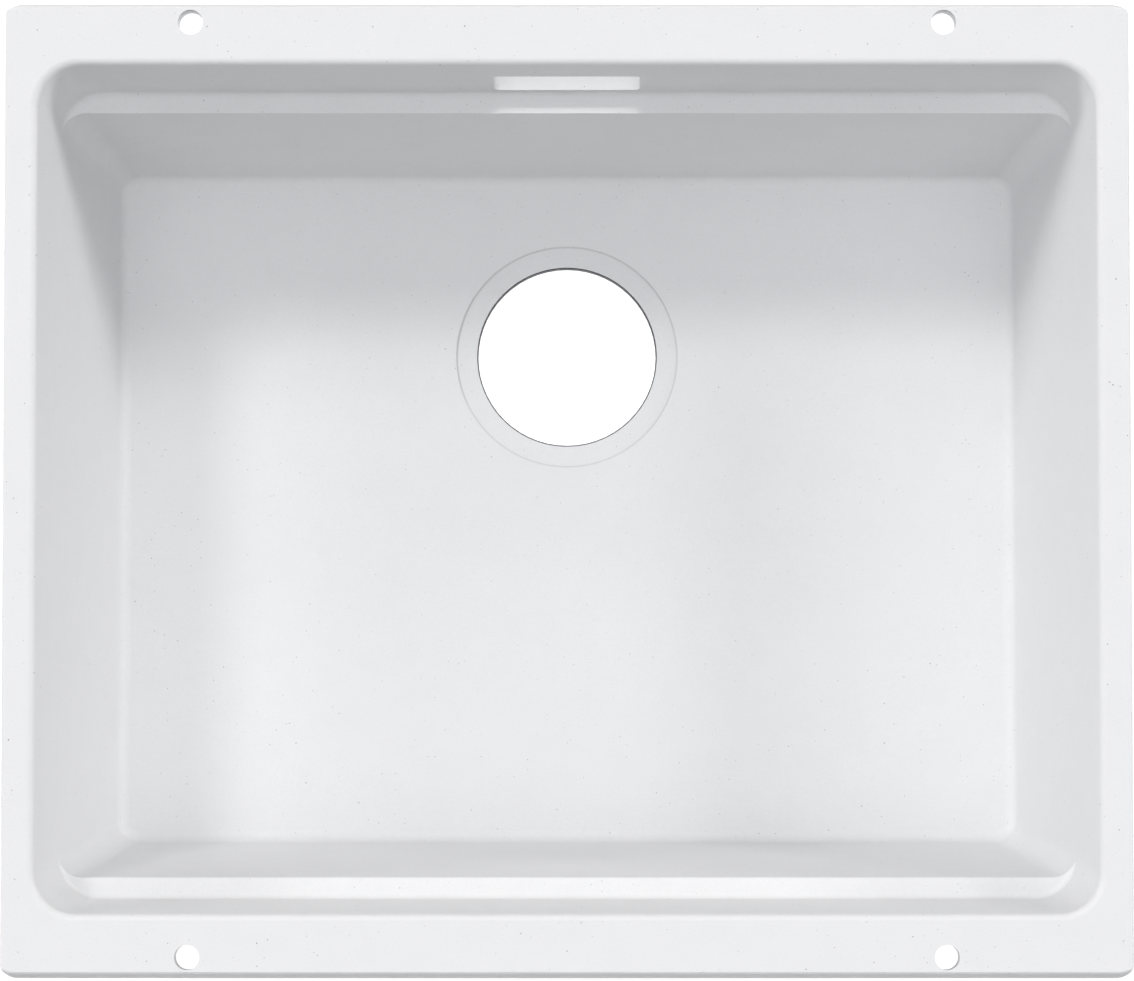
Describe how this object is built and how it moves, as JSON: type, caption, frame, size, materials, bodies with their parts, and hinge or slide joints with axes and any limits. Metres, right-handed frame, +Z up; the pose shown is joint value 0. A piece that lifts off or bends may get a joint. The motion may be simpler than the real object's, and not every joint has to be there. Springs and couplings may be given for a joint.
{
  "type": "undermount kitchen sink",
  "caption": "Rectangular one-piece stone composite bowl with narrow rim, stepped front and rear walls, round rear drain, overflow slot and rim fixing holes.",
  "frame": {"origin": "middle of the bowl's opening, in the plane of the rim's top face, which seals against the worktop's underside", "axes": "+X to the right of a user who faces the sink, +Y to the rear, +Z up out of the bowl"},
  "size_m": [0.53, 0.46, 0.2],
  "materials": {
    "composite": "fine matt moulded stone composite, white with sparse tiny dark grains",
    "sleeve_metal": "turned",
    "insert_metal": "turned"
  },
  "bodies": {
    "root": {"basin": "composite", "fixing_sleeve_rear_left": "sleeve_metal", "fixing_sleeve_rear_right": "sleeve_metal", "fixing_sleeve_front_left": "sleeve_metal", "fixing_sleeve_front_right": "sleeve_metal", "overflow_insert_left": "insert_metal", "overflow_insert_right": "insert_metal"}
  },
  "joints": []
}
